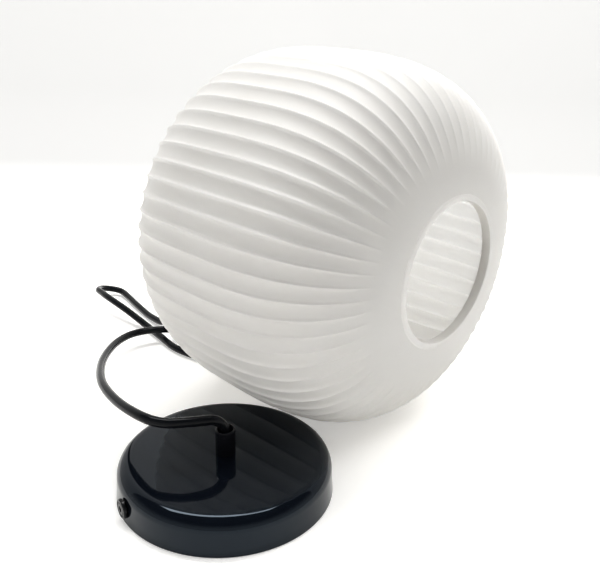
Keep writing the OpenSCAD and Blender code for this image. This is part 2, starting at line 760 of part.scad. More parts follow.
canopy_cup();
ceiling_bracket();
side_screw_front();
side_screw_rear();
canopy_grip();
grip_washer();
grip_nut();
canopy_cord_stop();
canopy_stop_screw();
terminal_block();
terminal_tubes();
terminal_screws();
block_screw();
canopy_live_wire();
canopy_neutral_wire();
cord();
holder_grip();
holder_cord_stop();
holder_stop_screw();
holder_cap();
holder_skirt();
contact_base();
screw_shell();
centre_contact();
side_contact();
base_screws();
holder_live_wire();
holder_neutral_wire();
upper_gasket();
lower_gasket();
shade_ring();
shade();
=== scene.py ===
import json
import math

import bmesh
import bpy
from mathutils import Matrix, Vector


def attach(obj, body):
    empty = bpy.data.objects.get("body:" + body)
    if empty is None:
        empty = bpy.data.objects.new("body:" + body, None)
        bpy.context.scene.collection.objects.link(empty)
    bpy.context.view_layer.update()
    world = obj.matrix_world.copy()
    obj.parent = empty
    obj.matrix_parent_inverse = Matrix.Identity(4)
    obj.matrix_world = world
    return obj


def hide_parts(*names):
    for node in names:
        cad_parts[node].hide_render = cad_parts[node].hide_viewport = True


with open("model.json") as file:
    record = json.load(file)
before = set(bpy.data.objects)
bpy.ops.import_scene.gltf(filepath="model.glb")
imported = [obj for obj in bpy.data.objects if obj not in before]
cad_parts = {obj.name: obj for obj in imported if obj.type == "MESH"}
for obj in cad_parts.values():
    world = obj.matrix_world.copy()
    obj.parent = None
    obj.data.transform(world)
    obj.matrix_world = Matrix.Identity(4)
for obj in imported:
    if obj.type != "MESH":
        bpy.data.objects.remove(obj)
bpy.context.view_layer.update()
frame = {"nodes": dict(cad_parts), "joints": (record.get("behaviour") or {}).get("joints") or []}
scene = bpy.context.scene
scene.view_settings.view_transform = "Standard"
print("frame loaded with", len(frame["nodes"]), "nodes")

# The lampholder's own frame: z runs from the mouth to the cord, x points up
shadeTurn = next(joint for joint in frame["joints"] if joint["name"] == "shade_turn")
headCentre = Vector(shadeTurn["pos_m"])
headUp = -Vector(shadeTurn["axis"])
headSide = Vector((0, 1, 0))
headTop = headSide.cross(headUp)
headFrame = Matrix.Translation(headCentre) @ Matrix((headTop, headSide, headUp)).transposed().to_4x4()
tableFrame = Matrix.Identity(4)

# Camera

viewpoint = {
    "place": (0.25586, -0.21013, 0.23993),
    "look": (-0.65145, 0.67803, -0.34044),
    "up": (-0.25223, 0.22964, 0.94002),
    "lens": 41.68, "sensorWidth": 36,  # millimetres
    "clipStart": 0.01,
}


def makeCamera():
    camera = bpy.data.objects.new("camera", bpy.data.cameras.new("camera"))
    scene.collection.objects.link(camera)
    back = -Vector(viewpoint["look"]).normalized()
    side = Vector(viewpoint["up"]).cross(back).normalized()
    camera.matrix_world = Matrix((side, back.cross(side), back)).transposed().to_4x4()
    camera.location = viewpoint["place"]
    camera.data.lens = viewpoint["lens"]
    camera.data.sensor_width = viewpoint["sensorWidth"]
    camera.data.clip_start = viewpoint["clipStart"]
    scene.camera = camera


makeCamera()
print("camera placed")

# Node helpers


def addNode(tree, kind, inputs=None, **settings):
    node = tree.nodes.new(kind)
    for name, value in settings.items():
        setattr(node, name, value)
    for key, value in (inputs or {}).items():
        if isinstance(value, bpy.types.NodeSocket):
            tree.links.new(value, node.inputs[key])
        else:
            node.inputs[key].default_value = value
    return node


def calc(tree, operation, *values):
    node = addNode(tree, "ShaderNodeMath", dict(enumerate(values)), operation=operation)
    return node.outputs[0]


def vectorCalc(tree, operation, *values):
    node = addNode(tree, "ShaderNodeVectorMath", dict(enumerate(values)), operation=operation)
    return node.outputs


def remap(tree, value, low, high, start=0.0, end=1.0, **settings):
    # Goes from low to high while the value goes from start to end
    node = addNode(tree, "ShaderNodeMapRange", {
        "Value": value, "From Min": start, "From Max": end, "To Min": low, "To Max": high}, **settings)
    return node.outputs[0]


def mixColor(tree, factor, first, second):
    # A Mix node's colours go in at sockets 6 and 7 and come out at socket 2
    node = addNode(tree, "ShaderNodeMix", {"Factor": factor, 6: first, 7: second}, data_type="RGBA")
    return node.outputs[2]


def newTree(name, kind, inputs, outputs):
    # An input is (label, type) or (label, type, starting value)
    tree = bpy.data.node_groups.new(name, kind)
    for label, socketType, *startValue in inputs:
        socket = tree.interface.new_socket(label, in_out="INPUT", socket_type=socketType)
        if startValue:
            socket.default_value = startValue[0]
    for label, socketType in outputs:
        tree.interface.new_socket(label, in_out="OUTPUT", socket_type=socketType)
    return tree, addNode(tree, "NodeGroupInput").outputs, addNode(tree, "NodeGroupOutput").inputs


# Shared surface effects, from the middle range of a noise in the piece's own space

grainNoise = {"detail": 4.0, "start": 0.3, "end": 0.7}
driftNoise = {"detail": 3.0, "start": 0.35, "end": 0.65}


def addNoise(tree, scale, detail):
    place = addNode(tree, "ShaderNodeTexCoord").outputs["Object"]
    node = addNode(tree, "ShaderNodeTexNoise", {"Vector": place, "Scale": scale, "Detail": detail})
    return node.outputs[0]


def buildGrain():
    # Fine noise that varies the roughness and lifts the surface a little
    tree, given, result = newTree(
        "surfaceGrain", "ShaderNodeTree",
        [("Scale", "NodeSocketFloat"), ("Low", "NodeSocketFloat"), ("High", "NodeSocketFloat")],
        [("Roughness", "NodeSocketFloat"), ("Height", "NodeSocketFloat")])
    noise = addNoise(tree, given["Scale"], grainNoise["detail"])
    rough = remap(tree, noise, given["Low"], given["High"], grainNoise["start"], grainNoise["end"])
    tree.links.new(rough, result["Roughness"])
    tree.links.new(noise, result["Height"])
    return tree


def buildTint():
    # Two close colours in soft patches
    tree, given, result = newTree(
        "colourDrift", "ShaderNodeTree",
        [("Scale", "NodeSocketFloat"), ("First", "NodeSocketColor"), ("Second", "NodeSocketColor")],
        [("Color", "NodeSocketColor")])
    noise = addNoise(tree, given["Scale"], driftNoise["detail"])
    share = remap(tree, noise, 0.0, 1.0, driftNoise["start"], driftNoise["end"])
    tree.links.new(mixColor(tree, share, given["First"], given["Second"]), result["Color"])
    return tree


grainTree = buildGrain()
tintTree = buildTint()


def surfaceFinish(name, spec):
    # A Principled surface whose colour drifts and whose roughness and height follow the grain
    # The spec's patch and grain are noise scales, and its bump and lift the bump's strength and height
    material = bpy.data.materials.new(name)
    material.use_nodes = True
    tree = material.node_tree
    shader = tree.nodes["Principled BSDF"]
    tint = addNode(tree, "ShaderNodeGroup", node_tree=tintTree, inputs={
        "Scale": spec["patch"], "First": (*spec["first"], 1), "Second": (*spec["second"], 1)})
    grain = addNode(tree, "ShaderNodeGroup", node_tree=grainTree, inputs={
        "Scale": spec["grain"], "Low": spec["rough"][0], "High": spec["rough"][1]})
    bump = addNode(tree, "ShaderNodeBump", {
        "Height": grain.outputs["Height"], "Strength": spec["bump"], "Distance": spec["lift"]})
    tree.links.new(tint.outputs["Color"], shader.inputs["Base Color"])
    tree.links.new(grain.outputs["Roughness"], shader.inputs["Roughness"])
    tree.links.new(bump.outputs["Normal"], shader.inputs["Normal"])
    for socket, value in spec.get("fixed", {}).items():
        shader.inputs[socket].default_value = value
    return material


opalGlass = surfaceFinish("opalGlass", {
    "first": (0.935, 0.906, 0.852), "second": (0.920, 0.887, 0.829), "patch": 25,
    "rough": (0.42, 0.55), "grain": 2600, "bump": 0.08, "lift": 0.0003,
    "fixed": {"Subsurface Radius": (1.0, 0.97, 0.92), "Subsurface Scale": 0.05, "IOR": 1.45}})
opalDepth = {
    "outside": 0.5, "inside": 0.82, "mouth": 0.1,  # share of the light that goes in
    "mouthEdge": 0.0965,  # the thick mouth begins this far in front of the shade's centre
}


def setOpalDepth():
    # The inner face shows most of the light that comes through the glass, and the thick mouth least
    tree = opalGlass.node_tree
    place = addNode(tree, "ShaderNodeTexCoord").outputs
    fromCentre = vectorCalc(tree, "SUBTRACT", place["Object"], headCentre)["Vector"]
    outward = vectorCalc(tree, "DOT_PRODUCT", place["Normal"], fromCentre)["Value"]
    along = vectorCalc(tree, "DOT_PRODUCT", fromCentre, headUp)["Value"]
    atMouth = calc(tree, "LESS_THAN", along, -opalDepth["mouthEdge"])
    within = remap(tree, atMouth, opalDepth["inside"], opalDepth["mouth"])
    onOutside = calc(tree, "GREATER_THAN", outward, 0.0)
    weight = remap(tree, onOutside, within, opalDepth["outside"])
    tree.links.new(weight, tree.nodes["Principled BSDF"].inputs["Subsurface Weight"])


setOpalDepth()
glossBlack = surfaceFinish("glossBlack", {
    "first": (0.0022, 0.0032, 0.0054), "second": (0.0028, 0.0040, 0.0066), "patch": 40,
    "rough": (0.05, 0.075), "grain": 300, "bump": 0.02, "lift": 0.0002,
    "fixed": {"Specular IOR Level": 0.22, "Specular Tint": (0.67, 0.84, 1.0, 1)}})
satinBlack = surfaceFinish("satinBlack", {
    "first": (0.0026, 0.0030, 0.0042), "second": (0.0036, 0.0040, 0.0054), "patch": 120,
    "rough": (0.20, 0.27), "grain": 900, "bump": 0.012, "lift": 0.0002,
    "fixed": {"Specular IOR Level": 0.16}})
cordSheath = surfaceFinish("cordSheath", {
    "first": (0.0036, 0.0042, 0.0052), "second": (0.0050, 0.0056, 0.0068), "patch": 60,
    "rough": (0.13, 0.19), "grain": 700, "bump": 0.03, "lift": 0.0002,
    "fixed": {"Specular IOR Level": 0.09}})
zincSteel = surfaceFinish("zincSteel", {
    "first": (0.60, 0.60, 0.59), "second": (0.50, 0.51, 0.52), "patch": 160,
    "rough": (0.26, 0.42), "grain": 700, "bump": 0.08, "lift": 0.0001, "fixed": {"Metallic": 1.0}})
bareBrass = surfaceFinish("bareBrass", {
    "first": (0.70, 0.50, 0.20), "second": (0.60, 0.40, 0.15), "patch": 140,
    "rough": (0.22, 0.38), "grain": 800, "bump": 0.06, "lift": 0.0001, "fixed": {"Metallic": 1.0}})
nylonWhite = surfaceFinish("nylonWhite", {
    "first": (0.76, 0.74, 0.68), "second": (0.70, 0.68, 0.61), "patch": 90,
    "rough": (0.40, 0.52), "grain": 900, "bump": 0.08, "lift": 0.0002,
    "fixed": {"Subsurface Weight": 0.15, "Subsurface Scale": 0.002}})
glazedBase = surfaceFinish("glazedBase", {
    "first": (0.80, 0.78, 0.72), "second": (0.74, 0.72, 0.66), "patch": 70,
    "rough": (0.14, 0.26), "grain": 500, "bump": 0.06, "lift": 0.0002})
mouldedBlack = surfaceFinish("mouldedBlack", {
    "first": (0.014, 0.014, 0.015), "second": (0.021, 0.020, 0.020), "patch": 80,
    "rough": (0.32, 0.46), "grain": 1600, "bump": 0.12, "lift": 0.0002})
softRubber = surfaceFinish("softRubber", {
    "first": (0.022, 0.022, 0.022), "second": (0.034, 0.033, 0.032), "patch": 110,
    "rough": (0.62, 0.8), "grain": 1300, "bump": 0.15, "lift": 0.0002})
wireBrown = surfaceFinish("wireBrown", {
    "first": (0.20, 0.085, 0.040), "second": (0.165, 0.070, 0.034), "patch": 200,
    "rough": (0.34, 0.46), "grain": 900, "bump": 0.06, "lift": 0.0001})
wireBlue = surfaceFinish("wireBlue", {
    "first": (0.040, 0.14, 0.44), "second": (0.034, 0.11, 0.37), "patch": 200,
    "rough": (0.34, 0.46), "grain": 900, "bump": 0.06, "lift": 0.0001})
print("finishes made")

# Cord: the same way as its solid, from the canopy's grip to the lampholder's

cordLie = {
    "diameter": 0.0056,
    "length": 0.965,
    "sheathEnds": (0.0072, 0.09926),  # canopy end above the table, holder end along the head's axis
    "canopyGrip": (0.022, 0.034),  # the straight stretch through each grip, measured as its sheath end is
    "holderGrip": (0.12726, 0.11226),
    "exit": (0, 0, 0.035),
    "way": [
        (-0.001, -0.006, 0.042), (-0.006, -0.018, 0.044), (-0.015, -0.029, 0.044), (-0.029, -0.034, 0.044),
        (-0.060, -0.030, 0.039), (-0.095, -0.019, 0.033), (-0.131, 0.001, 0.025), (-0.160, 0.024, 0.0185),
        (-0.179, 0.046, 0.014), (-0.185, 0.064, 0.012), (-0.179, 0.083, 0.011), (-0.166, 0.106, 0.0075),
        (-0.152, 0.135, 0.004), (-0.134, 0.164, 0.0032), (-0.110, 0.165, 0.0032), (-0.098, 0.138, 0.0032),
        (-0.106, 0.106, 0.0032), (-0.127, 0.086, 0.0032), (-0.155, 0.080, 0.0032), (-0.183, 0.084, 0.0032),
        (-0.207, 0.087, 0.0042), (-0.234, 0.0855, 0.0104), (-0.260, 0.085, 0.014), (-0.277, 0.0875, 0.014),
        (-0.288, 0.0905, 0.0128), (-0.2965, 0.098, 0.0102), (-0.2985, 0.108, 0.0069),
        (-0.2915, 0.1152, 0.0046), (-0.277, 0.114, 0.0034), (-0.254, 0.1085, 0.0032), (-0.221, 0.102, 0.0032),
        (-0.197, 0.100, 0.009), (-0.190, 0.106, 0.040), (-0.196, 0.116, 0.082), (-0.187, 0.118, 0.115),
    ],
    "stepsAround": 6, "stepsAlong": 10,  # Blender's resolution of the bevel and of each span
}


def makeCord():
    start = [Vector((0, 0, z)) for z in (cordLie["sheathEnds"][0], *cordLie["canopyGrip"])]
    finish = [headCentre + headUp * z for z in (*cordLie["holderGrip"], cordLie["sheathEnds"][1])]
    points = start + [Vector(p) for p in cordLie["way"]] + finish
    before = [2 * points[0] - points[1]] + points[:-1]
    after = points[1:] + [2 * points[-1] - points[-2]]
    curve = bpy.data.curves.new("cord_line", "CURVE")
    curve.dimensions = "3D"
    curve.bevel_depth = cordLie["diameter"] / 2
    curve.bevel_resolution = cordLie["stepsAround"]
    curve.resolution_u = cordLie["stepsAlong"]
    curve.use_fill_caps = True
    spline = curve.splines.new("BEZIER")
    spline.bezier_points.add(len(points) - 1)
    for knot, here, last, following in zip(spline.bezier_points, points, before, after):
        handle = (following - last) / 6  # a third of the mean step, for a smooth way through every point
        knot.handle_left_type = knot.handle_right_type = "FREE"
        knot.co = here
        knot.handle_left = here - handle
        knot.handle_right = here + handle
    curve.materials.append(cordSheath)
    cord = bpy.data.objects.new("cord_sheath", curve)
    scene.collection.objects.link(cord)
    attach(cord, "fixture")
    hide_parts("cord")


makeCord()
print("cord laid")

# Turned pieces: a closed profile is swept round an axis, with flutes or a screw thread worked into its radius

profileLayers = ("reach", "height", "flute", "thread")  # a profile point's radius, height and two depths
turning = {"mergeDistance": 1e-7, "creaseAngle": 35}
fluteForm = {
    "Crest": 0.003,  # how blunt a crest between two hollows is
    "Hollow": 2.0,  # how steeply a hollow leaves its crests
    "Crowding": 0.7,  # how far the columns move towards the crests
    "Ridge Width": 0.075,  # of the fine ridge on a crest, as a share of a flute
    "Ridge Share": 0.45,  # how far the ridge takes the place of the plain hollow
}


def buildLathe():
    tree, given, result = newTree(
        "turnedPiece", "GeometryNodeTree",
        [("Profile", "NodeSocketGeometry"), ("Columns", "NodeSocketInt"), ("Flutes", "NodeSocketInt"),
         *((label, "NodeSocketFloat", value) for label, value in fluteForm.items()),
         ("Thread Pitch", "NodeSocketFloat"), ("Finish", "NodeSocketMaterial")],
        [("Piece", "NodeSocketGeometry")])
    half = 0.5  # of a flute, or of a thread's turn

    def do(operation, *values):
        return calc(tree, operation, *values)

    def stored(name):
        node = addNode(tree, "GeometryNodeInputNamedAttribute", {"Name": name}, data_type="FLOAT")
        return node.outputs["Attribute"]

    # The columns crowd together at the crests of the flutes
    circle = addNode(tree, "GeometryNodeCurvePrimitiveCircle", {"Resolution": given["Columns"]})
    index = addNode(tree, "GeometryNodeInputIndex").outputs[0]
    even = do("DIVIDE", index, given["Columns"])
    rate = do("MULTIPLY", given["Flutes"], math.tau)
    shift = do("DIVIDE", do("SINE", do("MULTIPLY", even, rate)), rate)
    turn = do("SUBTRACT", even, do("MULTIPLY", shift, given["Crowding"]))
    marked = addNode(tree, "GeometryNodeStoreNamedAttribute", data_type="FLOAT", domain="POINT", inputs={
        "Geometry": circle.outputs["Curve"], "Name": "turn", "Value": turn})
    outline = addNode(tree, "GeometryNodeMeshToCurve", {"Mesh": given["Profile"]})
    swept = addNode(tree, "GeometryNodeCurveToMesh", {
        "Curve": marked.outputs["Geometry"], "Profile Curve": outline.outputs["Curve"]})
    # Narrow crests between wide concave hollows: across goes from 0 on a crest to a half in mid hollow
    across = do("PINGPONG", do("MULTIPLY", stored("turn"), given["Flutes"]), half)
    blunt = do("SQRT", do("MULTIPLY_ADD", across, across, given["Crest"]))
    crestRoot = do("SQRT", given["Crest"])
    span = do("SUBTRACT", do("SQRT", do("ADD", given["Crest"], half ** 2)), crestRoot)
    slide = do("DIVIDE", do("SUBTRACT", blunt, crestRoot), span)
    bowl = do("SUBTRACT", 1.0, do("POWER", do("SUBTRACT", 1.0, slide), given["Hollow"]))
    # A fine rounded ridge stands on each crest
    beside = do("POWER", do("DIVIDE", across, given["Ridge Width"]), 2.0)
    ridge = do("SUBTRACT", 1.0, do("EXPONENT", do("MULTIPLY", beside, -1.0)))
    dip = do("ADD", bowl, do("MULTIPLY", do("SUBTRACT", ridge, bowl), given["Ridge Share"]))
    hollow = do("MULTIPLY", stored("flute"), dip)
    # A thread's groove climbs one pitch in a turn
    climb = do("SUBTRACT", do("DIVIDE", stored("height"), given["Thread Pitch"]), stored("turn"))
    groove = do("MULTIPLY", stored("thread"), do("DIVIDE", do("PINGPONG", climb, half), half))
    radius = do("SUBTRACT", do("SUBTRACT", stored("reach"), hollow), groove)
    angle = do("MULTIPLY", stored("turn"), math.tau)
    place = addNode(tree, "ShaderNodeCombineXYZ", {
        "X": do("MULTIPLY", radius, do("COSINE", angle)),
        "Y": do("MULTIPLY", radius, do("SINE", angle)),
        "Z": stored("height")})
    turned = addNode(tree, "GeometryNodeSetPosition", {
        "Geometry": swept.outputs[0], "Position": place.outputs[0]})
    smooth = addNode(tree, "GeometryNodeSetShadeSmooth", {"Geometry": turned.outputs[0]})
    real = addNode(tree, "GeometryNodeRealizeInstances", {"Geometry": smooth.outputs[0]})
    dressed = addNode(tree, "GeometryNodeSetMaterial", {
        "Geometry": real.outputs[0], "Material": given["Finish"]})
    tree.links.new(dressed.outputs[0], result["Piece"])
    return tree


latheTree = buildLathe()
latheInputs = [item for item in latheTree.interface.items_tree if item.in_out == "INPUT"]
latheSockets = {item.name: item.identifier for item in latheInputs}


def plainMesh(piece, placement):
    # Turns the evaluated tree into an ordinary mesh and sets it in the lamp's frame
    graph = bpy.context.evaluated_depsgraph_get()
    mesh = bpy.data.meshes.new_from_object(piece.evaluated_get(graph), depsgraph=graph)
    piece.modifiers.clear()
    piece.data = mesh
    for name in (*profileLayers, "turn"):
        if name in mesh.attributes:
            mesh.attributes.remove(mesh.attributes[name])
    work = bmesh.new()
    work.from_mesh(mesh)
    bmesh.ops.remove_doubles(work, verts=work.verts, dist=turning["mergeDistance"])
    bmesh.ops.recalc_face_normals(work, faces=work.faces)
    work.to_mesh(mesh)
    work.free()
    mesh.transform(placement)
    mesh.set_sharp_from_angle(angle=math.radians(turning["creaseAngle"]))
    mesh.name = piece.name


def turnPiece(name, profile, finish, placement, sizes):
    # The sizes go to the tree's inputs of the same names
    mesh = bpy.data.meshes.new(name + "_profile")
    count = len(profile)
    mesh.from_pydata([(p[0], 0, p[1]) for p in profile], [(i, (i + 1) % count) for i in range(count)], [])
    for column, label in enumerate(profileLayers):
        layer = mesh.attributes.new(label, "FLOAT", "POINT")
        layer.data.foreach_set("value", [p[column] if column < len(p) else 0.0 for p in profile])
    piece = bpy.data.objects.new(name, mesh)
    scene.collection.objects.link(piece)
    modifier = piece.modifiers.new("turned", "NODES")
    modifier.node_group = latheTree
    modifier[latheSockets["Finish"]] = finish
    for label, value in sizes.items():
        modifier[latheSockets[label]] = value
    plainMesh(piece, placement)
    return piece


def seat(piece, body, node):
    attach(piece, body)
    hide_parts(node)


def arc(centre, radius, start, end, steps):
    # Points from one angle to the other, both in degrees
    angles = [math.radians(start + (end - start) * i / steps) for i in range(steps + 1)]
    return [(centre[0] + radius * math.cos(a), centre[1] + radius * math.sin(a)) for a in angles]


def threadRows(radius, low, high, depth, pitch, rows=8):
    # Closely spaced points up a threaded wall, with the thread running out at both ends
    count = round((high - low) / pitch * rows)
    points = []
    for i in range(count + 1):
        z = low + (high - low) * i / count
        fade = min(1.0, (z - low) / pitch, (high - z) / pitch)
        points.append((radius, z, 0.0, depth * fade))
    return points


# Shade: a rounded glass barrel with straight flutes, a smooth shoulder and a soft lip

shade = {
    "radius": 0.1153, "frontLen": 0.104, "backLen": 0.0825,
    "frontFull": 3.3, "backFull": 3.0,  # powers of the two half superellipses
    "wall": 0.003, "seatRadius": 0.031, "neckRadius": 0.0212,
    "mouthRadius": 0.042, "mouthThickness": 0.0065, "mouthEdge": 0.0003,
    "lipRadius": 0.047, "innerLipRadius": 0.060,  # where the barrel ends round the mouth
    "beadRadius": 0.002, "beadStart": -35,  # degrees
    "flutes": 64, "fluteDepth": 0.0018, "innerFlutes": 0.85,  # share of that depth on the inside
    "fluteEnd": 0.063, "fluteFull": 0.081,  # radii where the flutes run out and reach their depth
    "frontRows": 32, "backRows": 22, "innerRows": 12, "columnsPerFlute": 15,
}


def halfBarrel(radius, length, full, endRadius, rows):
    # Half a superellipse, from its widest place to the radius at its end
    end = math.acos((endRadius / radius) ** (full / 2))
    angles = [end * i / rows for i in range(rows + 1)]
    return [(radius * math.cos(a) ** (2 / full), length * math.sin(a) ** (2 / full)) for a in angles]


def fluteAt(radius):
    # The flutes fade out on the smooth shoulders at both ends
    t = (radius - shade["fluteEnd"]) / (shade["fluteFull"] - shade["fluteEnd"])
    t = max(0.0, min(1.0, t))
    return shade["fluteDepth"] * t * t * (3 - 2 * t)


def shadeProfile():
    radius, frontFull, backFull = shade["radius"], shade["frontFull"], shade["backFull"]
    back = halfBarrel(radius, shade["backLen"], backFull, shade["seatRadius"], shade["backRows"])
    front = halfBarrel(radius, shade["frontLen"], frontFull, shade["lipRadius"], shade["frontRows"])
    seatZ = back[-1][1]
    points = [(shade["neckRadius"], seatZ)]
    points += [(r, z, fluteAt(r)) for r, z in back[::-1]]
    points += [(r, -z, fluteAt(r)) for r, z in front[1:]]
    # The mouth: a bead, then a straight bore with rounded edges
    mouth, bead, edge = shade["mouthRadius"], shade["beadRadius"], shade["mouthEdge"]
    crestZ = -front[-1][1] - bead / 2
    boreZ = shade["mouthThickness"] - shade["frontLen"]
    points += arc((mouth + bead, crestZ + bead), bead, shade["beadStart"], -90, steps=6)
    points += arc((mouth + edge, crestZ + edge), edge, -90, -180, steps=5)
    points += [(mouth, crestZ + 2 * edge), (mouth, boreZ - 2 * edge)]
    points += arc((mouth + edge, boreZ - edge), edge, 180, 90, steps=3)
    # Inside: the same form one wall further in, with slightly softer flutes
    wall, soft, rows = shade["wall"], shade["innerFlutes"], shade["innerRows"]
    radius -= shade["fluteDepth"] * (1 - soft) + wall
    front = halfBarrel(radius, shade["frontLen"] - wall, frontFull, shade["innerLipRadius"], rows)
    back = halfBarrel(radius, shade["backLen"] - wall, backFull, shade["seatRadius"], rows)
    points += [(r, -z, fluteAt(r) * soft) for r, z in front[::-1]]
    points += [(r, z, fluteAt(r) * soft) for r, z in back[1:-1]]
    return points + [(shade["seatRadius"], seatZ - wall), (shade["neckRadius"], seatZ - wall)]


shadeGlass = turnPiece("shade_glass", shadeProfile(), opalGlass, headFrame, {
    "Columns": shade["flutes"] * shade["columnsPerFlute"], "Flutes": shade["flutes"]})
seat(shadeGlass, "shade", "shade")
print("shade blown:", len(shadeGlass.data.polygons), "faces")

# Canopy: a spun cup with a rolled edge

canopy = {
    "radius": 0.060, "height": 0.020, "draft": 0.001, "roll": 0.0075, "wall": 0.001, "holeRadius": 0.0047,
    "lipRound": 0.0003, "topRows": (0.040, 0.020), "columns": 224,
}


def canopyProfile():
    radius, top, wall = canopy["radius"], canopy["height"], canopy["wall"]
    hole, lip, roll = canopy["holeRadius"], canopy["lipRound"], canopy["roll"]
    rollCentre = (radius - canopy["draft"] - roll, top - roll)
    outer = [(radius, lip)] + arc(rollCentre, roll, 0, 90, steps=20)
    outer += [(r, top) for r in (*canopy["topRows"], hole + lip)]
    inner = [(hole, top - lip), (hole, top - wall)]
    inner += [(r, top - wall) for r in canopy["topRows"][::-1]]
    inner += arc(rollCentre, roll - wall, 90, 0, steps=12)
    rim = [(radius - wall, lip), (radius - wall + lip, 0), (radius - lip, 0)]
    return outer + inner + rim


canopyCup = turnPiece("canopy_shell", canopyProfile(), glossBlack, tableFrame, {"Columns": canopy["columns"]})
seat(canopyCup, "fixture", "canopy_cup")
print("canopy spun")

# Cord grips: a tube with a rolled rim on a threaded stem

grip = {
    "radius": 0.0055, "height": 0.015, "wall": 0.0012, "floor": 0.002, "edge": 0.0003, "boreRadius": 0.0032,
    "stemRadius": 0.0045, "threadDepth": 0.0004, "threadPitch": 0.001, "columns": 96,
    "canopyStem": 0.006, "holderStem": 0.0062,
    "holderSeat": 0.11226,  # along the head's axis
}


def gripProfile(stemLength):
    radius, wall, bore = grip["radius"], grip["wall"], grip["boreRadius"]
    floor, edge = grip["floor"], grip["edge"]
    inside = radius - wall
    tube = [(radius - edge, 0), (radius, edge)]
    tube += arc((radius - wall / 2, grip["height"] - wall / 2), wall / 2, 0, 180, steps=12)
    tube += [(inside, floor + edge), (inside - edge, floor), (bore + edge, floor), (bore, floor - edge)]
    stem = [(bore, -stemLength), (grip["stemRadius"] - grip["threadDepth"], -stemLength)]
    stem += threadRows(grip["stemRadius"], -stemLength, 0, grip["threadDepth"], grip["threadPitch"])
    return tube + stem


gripSeats = (
    ("canopy_grip", tableFrame, canopy["height"], grip["canopyStem"]),
    ("holder_grip", headFrame, grip["holderSeat"], grip["holderStem"]),
)
for node, base, height, stemLength in gripSeats:
    placement = base @ Matrix.Translation((0, 0, height))
    tube = turnPiece(node + "_tube", gripProfile(stemLength), satinBlack, placement, {
        "Columns": grip["columns"], "Thread Pitch": grip["threadPitch"]})
    seat(tube, "fixture", node)
print("grips turned")

# Lampholder: a domed cap over a threaded skirt, and the socket's rolled shell

holder = {
    "capZ": 0.08626, "capRadius": 0.025, "capHeight": 0.026, "capWall": 0.002,
    "neckRadius": 0.008, "neckThickness": 0.005, "stemHole": 0.00455,
    "neckGap": 2,  # degrees between the end of the dome and its neck
    "flangeZ": 0.08376, "flangeRadius": 0.029, "flangeTaper": 0.000278,
    "skirtRadius": 0.020, "skirtBore": 0.018, "skirtLength": 0.034,
    "ledgeZ": 0.07326, "ledgeRadius": 0.0158, "ledgeThickness": 0.002,
    "threadDepth": 0.0006, "threadPitch": 0.0025, "edge": 0.0005, "columns": 128,
}
socket = {
    "radius": 0.01325, "wall": 0.0004, "length": 0.022,
    "threadDepth": 0.00075, "threadPitch": 0.003629, "rowsPerTurn": 12, "columns": 96,
}


def capProfile():
    low = holder["capZ"]
    top = low + holder["capHeight"]
    under = top - holder["neckThickness"]
    radius, neck, edge = holder["capRadius"], holder["neckRadius"], holder["edge"]
    centre = (0, top - radius)
    domeEnd = math.degrees(math.acos(neck / radius)) - holder["neckGap"]
    outer = [(radius, low)] + arc(centre, radius, 0, domeEnd, steps=24)
    outer += [(neck, top - edge), (neck - edge, top)]
    hole = [(holder["stemHole"], top), (holder["stemHole"], under)]
    inside = radius - holder["capWall"]
    innerEnd = math.degrees(math.asin((under - centre[1]) / inside))
    return outer + hole + arc(centre, inside, innerEnd, 0, steps=16) + [(inside, low)]


def skirtProfile():
    flange, top, taper = holder["flangeZ"], holder["capZ"], holder["flangeTaper"]
    low = flange - holder["skirtLength"]
    radius, bore, edge = holder["skirtRadius"], holder["skirtBore"], holder["edge"]
    ledge, ledgeTop = holder["ledgeRadius"], holder["ledgeZ"]
    ledgeLow = ledgeTop - holder["ledgeThickness"]
    wall = threadRows(radius, low + edge, flange, holder["threadDepth"], holder["threadPitch"])
    plate = [(holder["flangeRadius"], flange + taper), (holder["flangeRadius"], top - taper)]
    inside = [(bore, top), (bore, ledgeTop), (ledge, ledgeTop),
              (ledge, ledgeLow), (bore, ledgeLow), (bore, low)]
    return wall + plate + inside + [(radius - edge, low)]


def shellProfile():
    top = holder["ledgeZ"]
    low = top - socket["length"]
    thread = (socket["threadDepth"], socket["threadPitch"], socket["rowsPerTurn"])
    outside = threadRows(socket["radius"] + socket["wall"], low, top, *thread)
    inside = threadRows(socket["radius"], low, top, *thread)
    return outside + inside[::-1]


holderCap = turnPiece("holder_dome", capProfile(), mouldedBlack, headFrame, {"Columns": holder["columns"]})
seat(holderCap, "fixture", "holder_cap")
holderSkirt = turnPiece("holder_thread", skirtProfile(), mouldedBlack, headFrame, {
    "Columns": holder["columns"], "Thread Pitch": holder["threadPitch"]})
seat(holderSkirt, "fixture", "holder_skirt")
socketShell = turnPiece("socket_shell", shellProfile(), bareBrass, headFrame, {
    "Columns": socket["columns"], "Thread Pitch": socket["threadPitch"]})
seat(socketShell, "fixture", "screw_shell")
print("lampholder turned")

# The small pieces keep their solids and get their finishes

